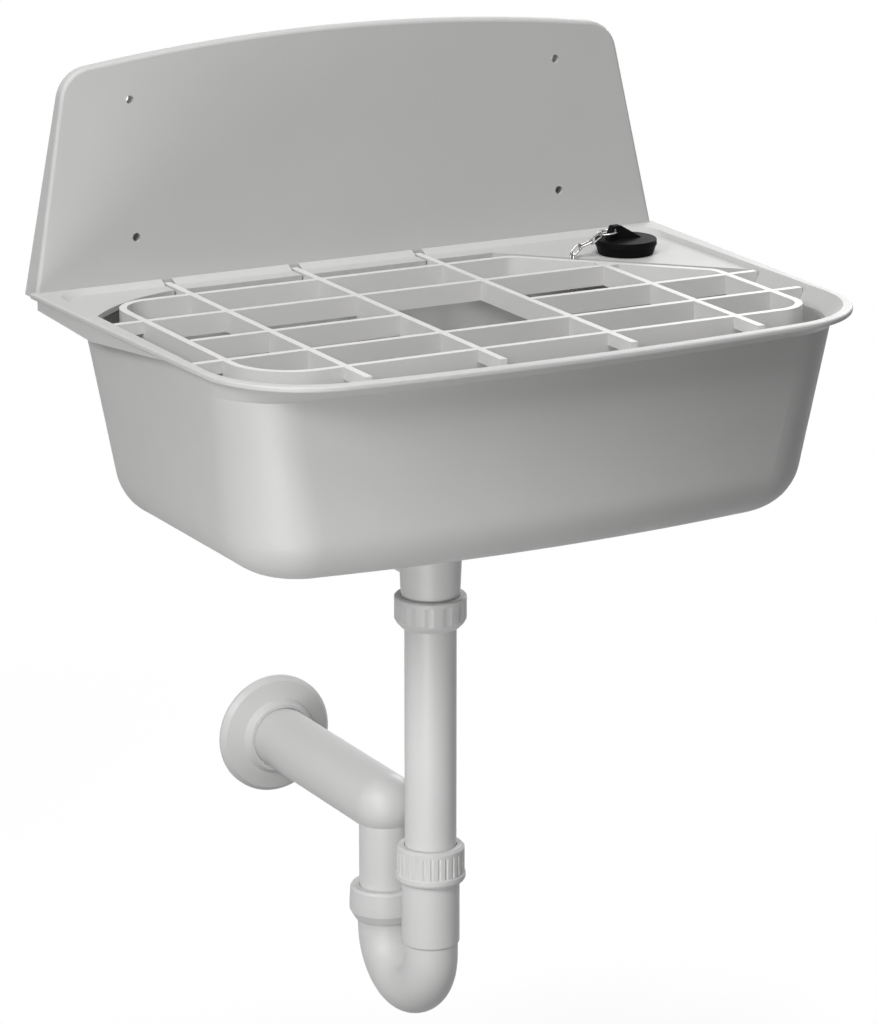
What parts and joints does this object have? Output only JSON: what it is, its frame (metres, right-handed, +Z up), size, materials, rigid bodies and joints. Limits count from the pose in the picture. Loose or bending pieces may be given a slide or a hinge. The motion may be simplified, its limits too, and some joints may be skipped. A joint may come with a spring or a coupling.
{
  "type": "utility sink",
  "caption": "Wall-hung plastic utility sink with leaning splashback, lay-in bucket grate, corner shelf, rubber plug on a chain and a swivelling tubular trap to the wall.",
  "frame": {"origin": "middle of the four wall screw holes, on the wall plane behind the splashback", "axes": "+X to the right seen from the front, +Y into the wall, +Z up"},
  "size_m": [0.538, 0.539, 0.7674],
  "materials": {
    "basin_plastic": "satin",
    "grate_plastic": "satin",
    "white_plastic": "gloss",
    "black_rubber": "matte",
    "grey_rubber": "matte",
    "bright_metal": "polished",
    "steel": "brushed"
  },
  "bodies": {
    "basin": {"basin": "basin_plastic", "drain_upper_seal": "grey_rubber", "drain_strainer": "steel", "drain_screw": "steel", "drain_lower_seal": "grey_rubber", "drain_body": "white_plastic", "tailpiece_seal": "grey_rubber", "dip_tube": "white_plastic", "overflow_rosette": "steel", "overflow_screw": "steel", "overflow_seal": "grey_rubber", "overflow_elbow": "white_plastic", "overflow_hose": "white_plastic", "plug_chain": "bright_metal"},
    "grate": {"grate": "grate_plastic"},
    "plug": {"plug": "black_rubber", "plug_ring": "bright_metal"},
    "tailpiece_nut": {"tailpiece_nut": "white_plastic"},
    "trap": {"trap_bend": "white_plastic", "inlet_seal": "grey_rubber", "outlet_seal": "grey_rubber"},
    "inlet_nut": {"inlet_nut": "white_plastic"},
    "outlet_nut": {"outlet_nut": "white_plastic"},
    "outlet": {"outlet_elbow": "white_plastic"},
    "rosette": {"wall_rosette": "white_plastic"}
  },
  "joints": [
    {"name": "grate_lift", "type": "slide", "parent": "basin", "child": "grate", "axis": [0, 0, 1], "range_m": [0, 0.15]},
    {"name": "plug_lift", "type": "slide", "parent": "basin", "child": "plug", "axis": [0, 0, 1], "range_m": [0, 0.04], "deforming": ["plug_chain"]},
    {"name": "tailpiece_nut_turn", "type": "hinge", "parent": "basin", "child": "tailpiece_nut", "pos_m": [0, -0.143, -0.335], "axis": [0, 0, 1], "continuous": true},
    {"name": "trap_swivel", "type": "hinge", "parent": "basin", "child": "trap", "pos_m": [0, -0.143, -0.55], "axis": [0, 0, 1], "range_deg": [-90, 90]},
    {"name": "inlet_nut_turn", "type": "hinge", "parent": "trap", "child": "inlet_nut", "pos_m": [0, -0.143, -0.538], "axis": [0, 0, 1], "continuous": true},
    {"name": "outlet_nut_turn", "type": "hinge", "parent": "trap", "child": "outlet_nut", "pos_m": [0, -0.066, -0.595], "axis": [0, 0, 1], "continuous": true},
    {"name": "elbow_swivel", "type": "hinge", "parent": "trap", "child": "outlet", "pos_m": [0, -0.066, -0.58], "axis": [0, 0, 1], "range_deg": [-90, 90]},
    {"name": "rosette_slide", "type": "slide", "parent": "outlet", "child": "rosette", "axis": [0, -1, 0], "range_m": [-0.02, 0.131]}
  ]
}
